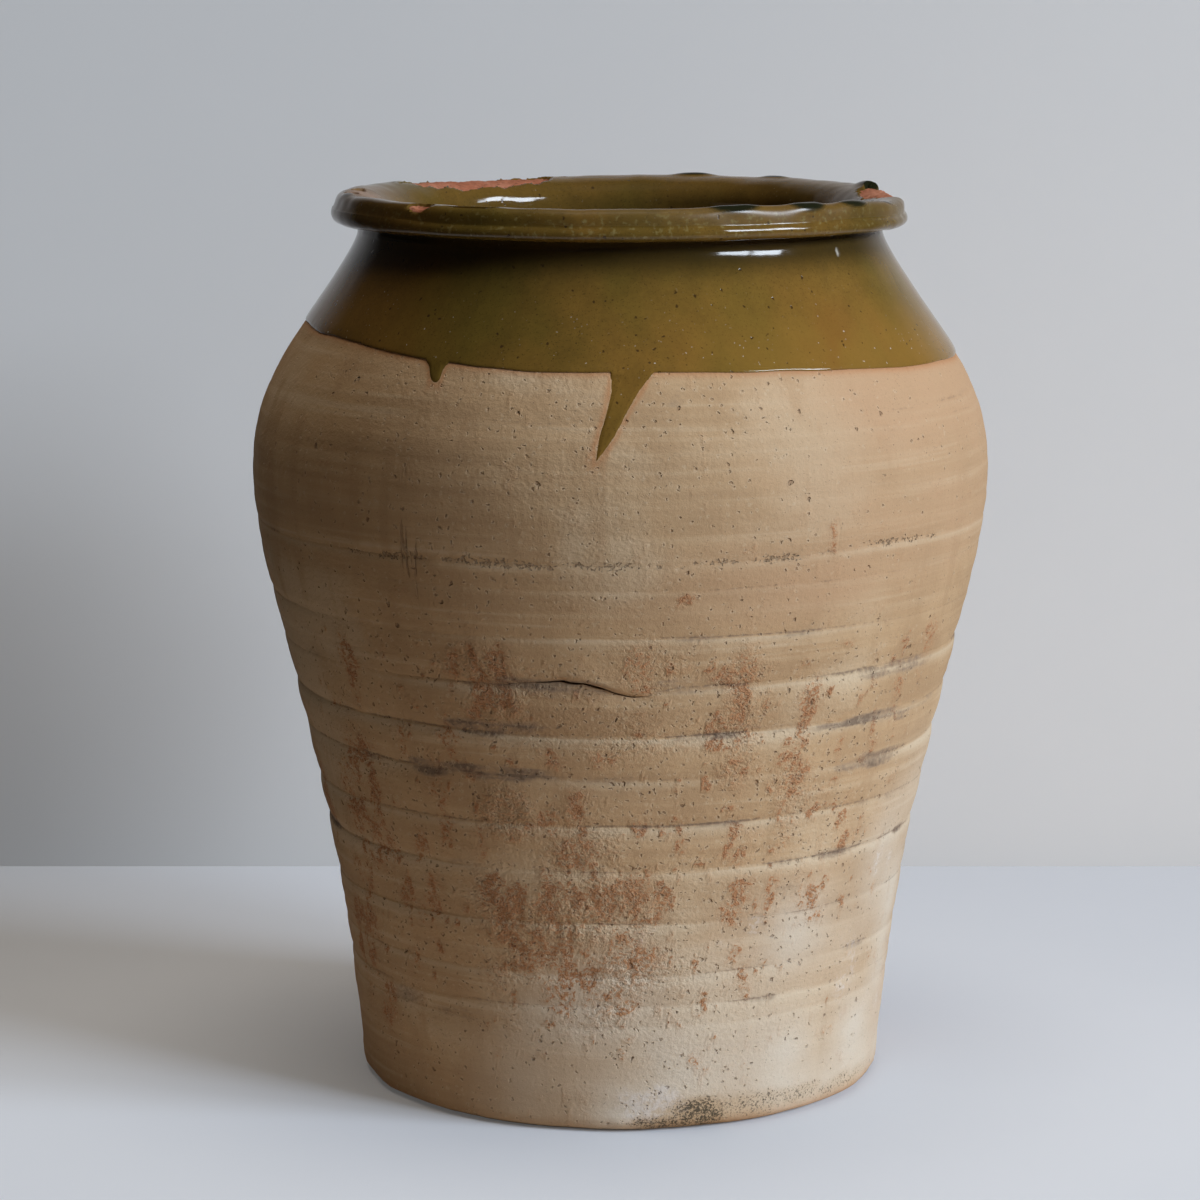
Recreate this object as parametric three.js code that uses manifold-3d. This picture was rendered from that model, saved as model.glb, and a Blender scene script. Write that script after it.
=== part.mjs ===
// A confit jar of fired earthenware, about 400 mm tall. Its wall was thrown in three courses and luted
// together on a slab floor, a rim with two beads was rolled on the neck, and the jar was glazed twice:
// a lining poured inside, and a collar dipped over rim and shoulder, which ran down in two places.
// Millimetres, +Z up, origin at the middle of the underside, front of the jar towards -Y.
import * as THREE from "three";
import { mergeVertices } from "three/addons/utils/BufferGeometryUtils.js";
import Module from "manifold-3d";

const wasm = await Module();
wasm.setup();

// Outline of the clay body
const FOOT_RADIUS = 118;
const FOOT_ROUND = 6;
const BELLY_RADIUS = 165.9;
const BELLY_HEIGHT = 276;
const SHOULDER_RISE = 106;
const NECK_RADIUS = 115.1;

// Swing of the outline: lean is millimetres out per millimetre up, pull is a share of the curve's rise
const FOOT_LEAN = 0.096;
const FOOT_PULL = 0.566;
const BELLY_PULL_BELOW = 0.179;
const BELLY_PULL_ABOVE = 0.43;
const NECK_LEAN = -0.58;
const NECK_PULL = 0.4725;

// Walls, courses and the grooves that the thrower's fingers left
const WALL = 10;
const FLOOR = 14;
const FOOT_LAND = 6;
const SLAB_CLEARANCE = 0.3;
const LOWER_COURSE = 203;
const MIDDLE_COURSE = 53.5;
const GROOVE_PITCH = 20.9;
const GROOVE_DEPTH = 1.3;
const GROOVE_START = 50;
// From one groove to the next: share of the pitch above the groove's bottom, and share of its depth there
const GROOVE_FORM = [
  [0, 1],
  [0.27, 0.12],
  [0.73, 0.12],
];

// Rim: a short neck, a lower bead, a larger upper bead and a lip that rounds into the mouth
const NECK_LAND = 5;
const LOWER_BEAD = 2.6;
const UPPER_BEAD = 4.2;
const BEAD_SINK = 1.7;
const RIM_OVERHANG = 12.4;
const UPPER_SETBACK = 1.7;
const LIP_DROP = 11;
const LOWER_BEAD_END = THREE.MathUtils.degToRad(55);
const UPPER_BEAD_START = THREE.MathUtils.degToRad(-35);

// Glaze: its thickness, the gap of its bond, and the tilted line that the dip left
const GLAZE = 0.9;
const BOND = 0.3;
const DIP_DEPTH = 65.5;
const DIP_TILT = THREE.MathUtils.degToRad(2.8);

// Runs of glaze: where along the line from the front, how long, how far the tip leans sideways, and how
// wide at the line, at half length and at the tip
const RUNS = [
  { along: 4.2, length: 35.5, lean: -13.8, width: 17.3, waist: 6.4, tip: 0.8 },
  { along: -81.2, length: 8, lean: 0, width: 12.4, waist: 4.2, tip: 4 },
];

// Chips along the lip: angle from the front towards +X in degrees, then length, width and depth
const CHIPS = [
  { angle: 88, length: 30, width: 20, depth: 4.2 },
  { angle: 55, length: 13, width: 12, depth: 1.7 },
  { angle: 40, length: 15, width: 12, depth: 2 },
  { angle: 25, length: 18, width: 12, depth: 1.8 },
  { angle: -45, length: 16, width: 11, depth: 1.8 },
  { angle: -146, length: 60, width: 14, depth: 1.9 },
];
const CHIP_FLAKE = 1.2;

// Facets and tolerances
const AROUND = 44;
const ARC_STEPS = 3;
const FOOT_ROWS = 2;
const SHOULDER_ROWS = 10;
const LOWER_INSIDE_ROWS = 4;
const MIDDLE_INSIDE_ROWS = 2;
const SHOULDER_INSIDE_ROWS = 6;
const RUN_STEPS = 5;
const CHIP_SIDES = 10;
const CHIP_RINGS = 8;
const MERGE_WITHIN = 1e-3;
const HALVINGS = 40;

// Heights that follow from the sizes above
const lowerJoint = LOWER_COURSE;
const upperJoint = LOWER_COURSE + MIDDLE_COURSE;
const neckHeight = BELLY_HEIGHT + SHOULDER_RISE;
const crestHeight = neckHeight + NECK_LAND + 2 * LOWER_BEAD + 2 * UPPER_BEAD - BEAD_SINK;
const slabRadius = FOOT_RADIUS - FOOT_ROUND - FOOT_LAND;

const point = (r, z) => new THREE.Vector2(r, z);

// Outline of the body: one curve from the foot up to the belly and one from the belly up to the neck
const footCurve = new THREE.CubicBezierCurve(
  point(FOOT_RADIUS, FOOT_ROUND),
  point(
    FOOT_RADIUS + FOOT_LEAN * FOOT_PULL * (BELLY_HEIGHT - FOOT_ROUND),
    FOOT_ROUND + FOOT_PULL * (BELLY_HEIGHT - FOOT_ROUND),
  ),
  point(BELLY_RADIUS, BELLY_HEIGHT - BELLY_PULL_BELOW * (BELLY_HEIGHT - FOOT_ROUND)),
  point(BELLY_RADIUS, BELLY_HEIGHT),
);
const shoulderCurve = new THREE.CubicBezierCurve(
  point(BELLY_RADIUS, BELLY_HEIGHT),
  point(BELLY_RADIUS, BELLY_HEIGHT + BELLY_PULL_ABOVE * SHOULDER_RISE),
  point(NECK_RADIUS - NECK_LEAN * NECK_PULL * SHOULDER_RISE, neckHeight - NECK_PULL * SHOULDER_RISE),
  point(NECK_RADIUS, neckHeight),
);

// Outer radius of the body at a height, by halving the curve's parameter until the heights agree
function bodyRadius(z) {
  if (z < FOOT_ROUND) {
    return FOOT_RADIUS - FOOT_ROUND + Math.sqrt(FOOT_ROUND ** 2 - (FOOT_ROUND - z) ** 2);
  }
  const curve = z < BELLY_HEIGHT ? footCurve : shoulderCurve;
  let low = 0;
  let high = 1;
  for (let i = 0; i < HALVINGS; i++) {
    const middle = (low + high) / 2;
    if (curve.getPoint(middle).y < z) low = middle;
    else high = middle;
  }
  return curve.getPoint((low + high) / 2).x;
}

// Points on the outside of the body between two heights, both included
function outsideRows(from, to, rows) {
  return Array.from({ length: rows + 1 }, (_, i) => {
    const z = from + ((to - from) * i) / rows;
    return point(bodyRadius(z), z);
  });
}

// The same with finger grooves: for each groove its bottom, and the two shoulders of the ridge above it
function groovedRows(from, to) {
  const rows = [];
  const firstRidge = Math.ceil((GROOVE_START - lowerJoint) / GROOVE_PITCH);
  const lastRidge = Math.floor((upperJoint - lowerJoint) / GROOVE_PITCH);
  for (let ridge = firstRidge; ridge <= lastRidge; ridge++) {
    for (const [share, depth] of GROOVE_FORM) {
      const z = lowerJoint + (ridge + share) * GROOVE_PITCH;
      if (z > from && z < to) rows.push(point(bodyRadius(z) - depth * GROOVE_DEPTH, z));
    }
  }
  return rows;
}

// The luted joint at the top of the lower course lies in a groove
const lowerJointPoint = point(bodyRadius(lowerJoint) - GROOVE_DEPTH, lowerJoint);
const upperJointPoint = point(bodyRadius(upperJoint), upperJoint);

// Points on the inside of a course, a wall's thickness in from the body's outline and an inset further in
function insideRows(from, to, rows, inset = 0) {
  return outsideRows(from, to, rows).map((p) => point(p.x - WALL - inset, p.y));
}

function arc(r, z, radiusOut, radiusUp, from, to) {
  const curve = new THREE.EllipseCurve(r, z, radiusOut, radiusUp, from, to, to < from);
  return curve.getPoints(ARC_STEPS);
}

// Solid of revolution, from a section that runs up on its outside and closes on itself or on the axis
function turned(section) {
  const geometry = new THREE.LatheGeometry(section, AROUND);
  geometry.rotateX(Math.PI / 2);
  return geometry;
}

const closed = (section) => [...section, section[0]];

// Slab floor, a plain disc
function slabGeometry() {
  return turned([point(0, 0), point(slabRadius, 0), point(slabRadius, FLOOR), point(0, FLOOR)]);
}

// Lower course: a rebate in its foot goes over the slab and down round the slab's edge
function lowerWallGeometry() {
  const footArc = arc(FOOT_RADIUS - FOOT_ROUND, FOOT_ROUND, FOOT_ROUND, FOOT_ROUND, -Math.PI / 2, 0);
  const plainFoot = outsideRows(FOOT_ROUND, GROOVE_START - GROOVE_PITCH / 2, FOOT_ROWS).slice(1);
  const rebate = slabRadius + SLAB_CLEARANCE;
  return turned(closed([
    point(rebate, 0),
    ...footArc,
    ...plainFoot,
    ...groovedRows(FOOT_ROUND, lowerJoint),
    lowerJointPoint,
    ...insideRows(lowerJoint, FLOOR, LOWER_INSIDE_ROWS),
    point(rebate, FLOOR),
  ]));
}

function middleWallGeometry() {
  return turned(closed([
    lowerJointPoint,
    ...groovedRows(lowerJoint, upperJoint),
    upperJointPoint,
    ...insideRows(upperJoint, lowerJoint, MIDDLE_INSIDE_ROWS),
  ]));
}

function shoulderWallGeometry() {
  return turned(closed([
    ...outsideRows(upperJoint, neckHeight, SHOULDER_ROWS),
    ...insideRows(neckHeight, upperJoint, SHOULDER_INSIDE_ROWS),
  ]));
}

// Outline of the rim from the inside of the neck, over the lip and both beads, to the outside of the neck
const lowerBeadReach = NECK_RADIUS + RIM_OVERHANG - LOWER_BEAD;
const lowerBeadHeight = neckHeight + NECK_LAND + LOWER_BEAD;
const upperBeadReach = NECK_RADIUS + RIM_OVERHANG - UPPER_SETBACK - UPPER_BEAD;
const upperBeadHeight = crestHeight - UPPER_BEAD;
const mouthRadius = NECK_RADIUS - WALL;
const lipFoot = crestHeight - LIP_DROP;
const rimOutline = [
  point(mouthRadius, neckHeight),
  ...arc(upperBeadReach, lipFoot, upperBeadReach - mouthRadius, LIP_DROP, Math.PI, Math.PI / 2).slice(0, -1),
  ...arc(upperBeadReach, upperBeadHeight, UPPER_BEAD, UPPER_BEAD, Math.PI / 2, UPPER_BEAD_START),
  ...arc(lowerBeadReach, lowerBeadHeight, LOWER_BEAD, LOWER_BEAD, LOWER_BEAD_END, -Math.PI / 2),
  point(NECK_RADIUS, neckHeight + NECK_LAND),
  point(NECK_RADIUS, neckHeight),
];

function asSolid(geometry) {
  const bare = geometry.clone();
  bare.deleteAttribute("normal");
  bare.deleteAttribute("uv");
  const merged = mergeVertices(bare.index ? bare.toNonIndexed() : bare, MERGE_WITHIN);
  return new wasm.Manifold(new wasm.Mesh({
    numProp: 3,
    vertProperties: new Float32Array(merged.attributes.position.array),
    triVerts: new Uint32Array(merged.index.array),
  }));
}

function asGeometry(solid) {
  const mesh = solid.getMesh();
  const geometry = new THREE.BufferGeometry();
  geometry.setAttribute("position", new THREE.BufferAttribute(mesh.vertProperties, 3));
  geometry.setIndex(new THREE.BufferAttribute(mesh.triVerts, 1));
  geometry.computeVertexNormals();
  return geometry;
}

// Chips are shallow egg-shaped scoops, centred on the crest of the lip, the glaze flaked back beyond the clay
function chipped(whole, flake) {
  let solid = whole;
  for (const { angle, length, width, depth } of CHIPS) {
    const scoop = new THREE.SphereGeometry(1, CHIP_SIDES, CHIP_RINGS);
    scoop.scale(length / 2 + flake, width / 2 + flake, depth + flake);
    scoop.translate(0, -upperBeadReach, crestHeight);
    scoop.rotateZ(THREE.MathUtils.degToRad(angle));
    solid = solid.subtract(asSolid(scoop));
  }
  return asGeometry(solid);
}

function rimGeometry() {
  return chipped(asSolid(turned(closed([...rimOutline].reverse()))), 0);
}

// Line offset to its left by a distance, with mitred corners
function offset(line, distance) {
  return line.map((p, i) => {
    const before = line[Math.max(i - 1, 0)];
    const after = line[Math.min(i + 1, line.length - 1)];
    const into = p.clone().sub(before).normalize();
    const out = after.clone().sub(p).normalize();
    if (i === 0) into.copy(out);
    if (i === line.length - 1) out.copy(into);
    const along = into.clone().add(out).normalize();
    const mitre = distance / along.dot(out);
    return point(p.x - along.y * mitre, p.y + along.x * mitre);
  });
}

// Everything above the line of the dip, which the jar met slightly askew
const dipHeight = crestHeight + BOND + GLAZE - DIP_DEPTH;
const dipRadius = bodyRadius(dipHeight);
function dipSolid() {
  const reach = 4 * BELLY_RADIUS;
  const above = new THREE.BoxGeometry(reach, reach, reach);
  above.translate(0, 0, reach / 2);
  above.rotateY(DIP_TILT);
  above.translate(0, 0, dipHeight);
  return asSolid(above);
}

// A run is a tongue that hangs from the line and narrows to its tip, pushed straight out through the coat
function runSolid({ along, length, lean, width, waist, tip }) {
  const turn = along / dipRadius;
  const lineHeight = dipHeight - Math.tan(DIP_TILT) * dipRadius * Math.sin(turn);
  const outline = new THREE.Shape();
  outline.moveTo(width / 2, 0);
  outline.lineTo(width / 2, width);
  outline.lineTo(-width / 2, width);
  outline.lineTo(-width / 2, 0);
  outline.quadraticCurveTo((lean - waist) / 2, -length / 2, lean - tip / 2, -length);
  outline.lineTo(lean + tip / 2, -length);
  outline.quadraticCurveTo((lean + waist) / 2, -length / 2, width / 2, 0);
  const tongue = new THREE.ExtrudeGeometry(outline, {
    depth: 2 * BELLY_RADIUS,
    bevelEnabled: false,
    curveSegments: RUN_STEPS,
  });
  tongue.rotateX(Math.PI / 2);
  tongue.translate(0, 0, lineHeight);
  tongue.rotateZ(turn);
  return asSolid(tongue);
}

// Collar: a coat on the rim and on the shoulder course, as far down as the dip and its runs reach
function collarGeometry() {
  const clay = [...rimOutline, ...outsideRows(neckHeight, upperJoint, SHOULDER_ROWS).slice(1)];
  const coat = turned(closed([...offset(clay, BOND + GLAZE).reverse(), ...offset(clay, BOND)]));
  const reached = RUNS.map(runSolid).reduce((whole, run) => whole.add(run), dipSolid());
  return chipped(asSolid(coat).intersect(reached), CHIP_FLAKE);
}

// Inside of the whole wall from a height up to the neck, through the rows of every course
function insideLine(from, inset) {
  return [
    ...insideRows(from, lowerJoint, LOWER_INSIDE_ROWS, inset),
    ...insideRows(lowerJoint, upperJoint, MIDDLE_INSIDE_ROWS, inset).slice(1),
    ...insideRows(upperJoint, neckHeight, SHOULDER_INSIDE_ROWS, inset).slice(1),
  ];
}

// Lining: a coat on the floor and up the inside of the walls to the foot of the rim
function liningGeometry() {
  const onClay = insideLine(FLOOR, BOND);
  const surface = insideLine(FLOOR + GLAZE, BOND + GLAZE).reverse();
  return turned([point(0, FLOOR), ...onClay, ...surface, point(0, FLOOR + GLAZE)]);
}

const jar = new THREE.Group();

function addPiece(name, geometry, color, roughness) {
  const material = new THREE.MeshStandardMaterial({ color, roughness, metalness: 0 });
  const piece = new THREE.Mesh(geometry, material);
  piece.name = name;
  jar.add(piece);
}

const BUFF_SLIP = 0xc49f70;
const RED_CLAY = 0xa8623c;
const OLIVE_GLAZE = 0x6a5220;
const CLAY_ROUGHNESS = 0.9;
const GLAZE_ROUGHNESS = 0.15;

addPiece("floor_slab", slabGeometry(), RED_CLAY, CLAY_ROUGHNESS);
addPiece("lower_wall", lowerWallGeometry(), BUFF_SLIP, CLAY_ROUGHNESS);
addPiece("middle_wall", middleWallGeometry(), BUFF_SLIP, CLAY_ROUGHNESS);
addPiece("shoulder_wall", shoulderWallGeometry(), BUFF_SLIP, CLAY_ROUGHNESS);
addPiece("rim", rimGeometry(), RED_CLAY, CLAY_ROUGHNESS);
addPiece("glaze_collar", collarGeometry(), OLIVE_GLAZE, GLAZE_ROUGHNESS);
addPiece("glaze_lining", liningGeometry(), OLIVE_GLAZE, GLAZE_ROUGHNESS);

export default jar;
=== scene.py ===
# A large round-bellied earthenware storage jar with a dipped olive glaze, standing on a pale table.
import math

import bpy
import numpy as np
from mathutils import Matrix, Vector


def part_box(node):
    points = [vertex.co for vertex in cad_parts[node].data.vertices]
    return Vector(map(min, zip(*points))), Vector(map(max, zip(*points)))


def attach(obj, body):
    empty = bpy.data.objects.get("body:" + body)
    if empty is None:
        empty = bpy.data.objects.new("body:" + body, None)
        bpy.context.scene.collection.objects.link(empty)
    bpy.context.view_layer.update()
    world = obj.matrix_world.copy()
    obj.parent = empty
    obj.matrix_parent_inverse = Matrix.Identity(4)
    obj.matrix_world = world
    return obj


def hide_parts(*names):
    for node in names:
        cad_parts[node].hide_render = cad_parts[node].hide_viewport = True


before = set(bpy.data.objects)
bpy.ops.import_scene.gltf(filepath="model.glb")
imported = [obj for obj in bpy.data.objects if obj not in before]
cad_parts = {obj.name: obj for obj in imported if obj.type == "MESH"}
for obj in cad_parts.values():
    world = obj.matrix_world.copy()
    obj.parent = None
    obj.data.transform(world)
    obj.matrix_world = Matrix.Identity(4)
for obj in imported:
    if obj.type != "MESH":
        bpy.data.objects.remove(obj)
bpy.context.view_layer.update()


# Viewpoint: the jar is seen from a little above its lip, almost two metres in front of it.
# Lens, place and tilt are those that lay the jar's outline over the pictured one, in millimetres and degrees.
MM = 0.001
EYE = (-8.95, -1800.0, 515.2)
TILT_DOWN = 9.48
LENS = 120.66
SENSOR = 36.0

camera = bpy.data.objects.new("viewpoint", bpy.data.cameras.new("viewpoint"))
camera.data.lens = LENS
camera.data.sensor_width = SENSOR
camera.location = [MM * part for part in EYE]
camera.rotation_euler = (math.radians(90 - TILT_DOWN), 0, 0)
bpy.context.collection.objects.link(camera)
bpy.context.scene.camera = camera
bpy.context.scene.view_settings.view_transform = "Standard"


# Table and wall: a white painted table top that ends at a pale plastered wall close behind the jar.
# They aren't part of the jar; they carry its shadow and give the glaze something pale to reflect.
TABLE_BACK = 385.0
TABLE_REACH = 6000.0
WALL_REACH = 2000.0
WALL_TOP = 1600.0
TABLE_PAINT = (0.64, 0.69, 0.765, 1)
WALL_PAINT = (0.765, 0.77, 0.77, 1)
# Warm light thrown back on the jar, most from near each panel's middle and least from far off, in metres
BOUNCE_NEAR = 0.45
BOUNCE_FAR = 0.95
TABLE_BOUNCE = (0.71, 0.61, 0.52, 1)
TABLE_MIDDLE = (0.35, -0.3, 0)
WALL_BOUNCE = (0.50, 0.415, 0.34, 1)
WALL_MIDDLE = (0.1, 0, 0.1)
FAR_BOUNCE = (0.05, 0.044, 0.038, 1)
# How near the jar its glaze mirrors the paint as it is seen, in metres
MIRROR_MIDDLE = (-0.02, 0, 0.1)
MIRROR_NEAR = 0.36
MIRROR_FAR = 0.85
# A faint glow that keeps the jar's shadow pale
NO_GLOW = (0, 0, 0, 1)
SHADOW_GLOW = (0.07, 0.07, 0.07, 1)


class Shade:
    """A socket in a material's nodes. Sums on it add Math nodes, and node() adds a node of any other kind."""

    def __init__(self, tree, socket=None):
        self.tree = tree
        self.socket = socket

    def node(self, kind, settings=(), values=(), out=0):
        """Adds a node, sets it up, fills its sockets by name or number, and gives the output asked for."""
        made = self.tree.nodes.new(kind)
        for name, value in dict(settings).items():
            setattr(made, name, value)
        for name, value in dict(values).items():
            if isinstance(value, Shade):
                self.tree.links.new(value.socket, made.inputs[name])
            else:
                made.inputs[name].default_value = value
        return Shade(self.tree, made.outputs[out] if len(made.outputs) else None)

    def math(self, operation, *terms):
        return self.node("ShaderNodeMath", {"operation": operation}, dict(enumerate(terms)))

    def __add__(self, other):
        return self.math("ADD", self, other)

    __radd__ = __add__

    def __sub__(self, other):
        return self.math("SUBTRACT", self, other)

    def __rsub__(self, other):
        return self.math("SUBTRACT", other, self)

    def __mul__(self, other):
        return self.math("MULTIPLY", self, other)

    __rmul__ = __mul__

    def step(self, low, high):
        """Rises smoothly from 0 to 1 as this value goes from low to high."""
        return self.node(
            "ShaderNodeMapRange",
            {"interpolation_type": "SMOOTHSTEP"},
            {"Value": self, "From Min": low, "From Max": high},
        )

    def blend(self, colour, other):
        """Goes from one colour to the other as this value goes from 0 to 1."""
        settings = {"data_type": "RGBA", "clamp_factor": True}
        return self.node("ShaderNodeMix", settings, {0: self, 6: colour, 7: other}, out=2)

    def under(self, *coats):
        """This colour under coats of others, each given as its colour and how much of it shows."""
        colour = self
        for other, amount in coats:
            colour = amount.blend(colour, other)
        return colour

    def cloud(self, stretch, detail=3.0):
        """Soft noise from 0 to 1, with this many cells to the metre along x, y and z."""
        place = self.node("ShaderNodeTexCoord", out="Object")
        scaled = self.node("ShaderNodeVectorMath", {"operation": "MULTIPLY"}, {0: place, 1: stretch})
        return self.node("ShaderNodeTexNoise", {}, {"Vector": scaled, "Scale": 1.0, "Detail": detail})

    def specks(self, scale, sway):
        """Points strewn so many to the metre: how far off the nearest is, and an amount that is its own."""
        place = self.node("ShaderNodeTexCoord", out="Object")
        jolt = self.node("ShaderNodeTexNoise", {}, {"Vector": place, "Scale": 1.5 * scale}, out="Color")
        push = {0: jolt, 1: [sway / scale] * 3, 2: place}
        jolted = self.node("ShaderNodeVectorMath", {"operation": "MULTIPLY_ADD"}, push)
        away = self.node("ShaderNodeTexVoronoi", {}, {"Vector": jolted, "Scale": scale}, out="Distance")
        return away, Shade(self.tree, away.socket.node.outputs["Color"])

    def mark(self, name):
        """An amount of wear or glaze that the body carries at each of its points."""
        return self.node("ShaderNodeAttribute", {"attribute_name": name}, out="Fac")

    def bump(self, height):
        """The surface raised by a height in millimetres."""
        return self.node("ShaderNodeBump", {}, {"Height": height, "Distance": MM}, out="Normal")


def new_finish(name):
    finish = bpy.data.materials.new(name)
    finish.use_nodes = True
    finish.node_tree.nodes.clear()
    return finish, Shade(finish.node_tree)


def finish_with(paint, **values):
    """Ends a finish in its shader, whose sockets are named with _ for a space."""
    sockets = {name.replace("_", " "): value for name, value in values.items()}
    shader = paint.node("ShaderNodeBsdfPrincipled", {}, sockets)
    paint.node("ShaderNodeOutputMaterial", {}, {"Surface": shader})


def painted_panel(name, low, high, colour, bounce, middle):
    """A flat painted panel between two corners. It throws warm light back on the jar, most from round its
    middle, and glows faintly where it is seen. From behind it is open, so that the jar shows."""
    finish, paint = new_finish(name)
    dapple = paint.cloud((9, 9, 9)).blend(colour, [0.97 * part for part in colour[:3]] + [1])
    seen = paint.node("ShaderNodeLightPath", out="Is Camera Ray")
    mirrored = paint.node("ShaderNodeLightPath", out="Is Glossy Ray")
    place = paint.node("ShaderNodeTexCoord", out="Object")

    def distance_from(spot):
        ends = {0: place, 1: spot}
        return paint.node("ShaderNodeVectorMath", {"operation": "DISTANCE"}, ends, out="Value")

    thrown = distance_from(middle).step(BOUNCE_FAR, BOUNCE_NEAR).blend(FAR_BOUNCE, bounce)
    faced = seen + mirrored * distance_from(MIRROR_MIDDLE).step(MIRROR_FAR, MIRROR_NEAR)
    sockets = {
        "Base Color": faced.blend(thrown, dapple),
        "Roughness": 1.0,
        "Specular IOR Level": 0.0,
        "Emission Color": faced.blend(NO_GLOW, SHADOW_GLOW),
        "Emission Strength": 1.0,
    }
    front = paint.node("ShaderNodeBsdfPrincipled", {}, sockets)
    behind = paint.node("ShaderNodeNewGeometry", out="Backfacing")
    sides = {0: behind, 1: front, 2: paint.node("ShaderNodeBsdfTransparent")}
    paint.node("ShaderNodeOutputMaterial", {}, {"Surface": paint.node("ShaderNodeMixShader", {}, sides)})
    corners = [low, (high[0], *low[1:]), high, (low[0], *high[1:])]
    mesh = bpy.data.meshes.new(name)
    mesh.from_pydata([[MM * part for part in corner] for corner in corners], [], [range(len(corners))])
    mesh.materials.append(finish)
    panel = bpy.data.objects.new(name, mesh)
    bpy.context.collection.objects.link(panel)


painted_panel(
    "table",
    (-TABLE_REACH, -TABLE_REACH, 0),
    (TABLE_REACH, TABLE_BACK, 0),
    TABLE_PAINT,
    TABLE_BOUNCE,
    TABLE_MIDDLE,
)
painted_panel(
    "wall",
    (-WALL_REACH, TABLE_BACK, 0),
    (WALL_REACH, TABLE_BACK, WALL_TOP),
    WALL_PAINT,
    WALL_BOUNCE,
    WALL_MIDDLE,
)


# Light: two soft panes side by side, to the right and in front, and a dim fill from straight above.
# The panes leave the jar's left third in shade and show as a pair of small bright marks in the glaze.
# Distances and sizes are in metres, angles in degrees and power in watts.
LIGHT_BEARING = 62.0
LIGHT_HEIGHT = 24.0
LIGHT_DISTANCE = 7.0
PANE_SIZE = (1.65, 2.2)
PANE_GAP = 0.23
PANE_POWER = 252.0
PANE_COLOUR = (0.87, 0.965, 1.09)
FILL_COLOUR = (1.0, 0.87, 0.72, 1)
FILL_LEVEL = 0.015
FILL_ABOVE = 3.2
AIM_HEIGHT = 0.2

bearing = math.radians(LIGHT_BEARING)
lift = math.radians(LIGHT_HEIGHT)
for side in (-1, 1):
    pane = bpy.data.objects.new("pane", bpy.data.lights.new("pane", "AREA"))
    pane.data.shape = "RECTANGLE"
    pane.data.size, pane.data.size_y = PANE_SIZE
    pane.data.energy = PANE_POWER
    pane.data.color = PANE_COLOUR
    aside = side * (PANE_SIZE[0] + PANE_GAP) / 2
    level = LIGHT_DISTANCE * math.cos(lift)
    pane.location = (
        level * math.sin(bearing) + aside * math.cos(bearing),
        -level * math.cos(bearing) + aside * math.sin(bearing),
        AIM_HEIGHT + LIGHT_DISTANCE * math.sin(lift),
    )
    pane.rotation_euler = (math.pi / 2 - lift, 0, bearing)
    bpy.context.collection.objects.link(pane)

world = bpy.data.worlds.new("room")
world.use_nodes = True
world.node_tree.nodes.clear()
room = Shade(world.node_tree)
heading = room.node("ShaderNodeTexCoord", out="Generated")
upward = room.node("ShaderNodeSeparateXYZ", {}, {"Vector": heading}, out="Z")
mirrored = room.node("ShaderNodeLightPath", out="Is Glossy Ray")
strength = FILL_LEVEL + FILL_ABOVE * upward.step(0.9, 0.97) * (1 - mirrored)
glow = room.node("ShaderNodeBackground", {}, {"Color": FILL_COLOUR, "Strength": strength})
room.node("ShaderNodeOutputWorld", {}, {"Surface": glow})
bpy.context.scene.world = world


# Floor: a slab of red clay beaten flat and seated in a rebate round the foot of the wall.
# Its underside keeps the curved marks of the wire that cut it free, and a dusting of grit.
COLUMNS = 720
SLAB_RINGS = 60
HUB_RADIUS = 2.0
WIRE_PITCH = 5.5
WIRE_SWEEP = 190.0
WIRE_MARK = 0.35
BEATEN_MARK = 0.05
RED_CLAY = (0.37, 0.13, 0.068, 1)
PALE_RED_CLAY = (0.47, 0.205, 0.125, 1)
DARK_RED_CLAY = (0.22, 0.085, 0.045, 1)

slab_radius, _, slab_thick = np.array(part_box("floor_slab")[1]) / MM


def round_axis(turn, radius, height):
    """Points in mm at a turn from the front towards the right, a distance from the axis and a height."""
    turn, radius, height = np.broadcast_arrays(turn, radius, height)
    return np.stack([radius * np.sin(turn), -radius * np.cos(turn), height], -1)


def ease(value, low, high):
    """Rises smoothly from 0 to 1 as value goes from low to high."""
    share = np.clip((value - low) / (high - low), 0, 1)
    return share * share * (3 - 2 * share)


def hump(offset, width, power=2):
    """1 at an offset of 0, about a third at a width from it, and soon 0 beyond that."""
    return np.exp(-((offset / width) ** power))


def mottle(turn, height, wide, tall, seed, girth=900.0, reach=440.0):
    """Soft random relief from -1 to 1 that meets itself round the jar, in cells of wide by tall mm."""
    cells = max(3, round(girth / wide))
    rows = math.ceil(reach / tall) + 3
    lattice = np.random.default_rng(seed).uniform(-1, 1, (rows, cells))
    across = np.asarray(turn) / (2 * math.pi) * cells
    up = np.asarray(height) / tall + 1
    column = np.floor(across).astype(int)
    row = np.floor(up).astype(int)
    beside = ease(across - column, 0, 1)
    above = ease(up - row, 0, 1)

    def corner(right, higher):
        return lattice[np.clip(row + higher, 0, rows - 1), (column + right) % cells]

    lower = corner(0, 0) * (1 - beside) + corner(1, 0) * beside
    upper = corner(0, 1) * (1 - beside) + corner(1, 1) * beside
    return lower * (1 - above) + upper * above


def ragged(turn, height, wide, tall, seed):
    """Three layers of mottle, each half as large as the one before."""
    return sum(mottle(turn, height, wide / 2**n, tall / 2**n, seed + n) * 0.55**n for n in range(3))


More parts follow.
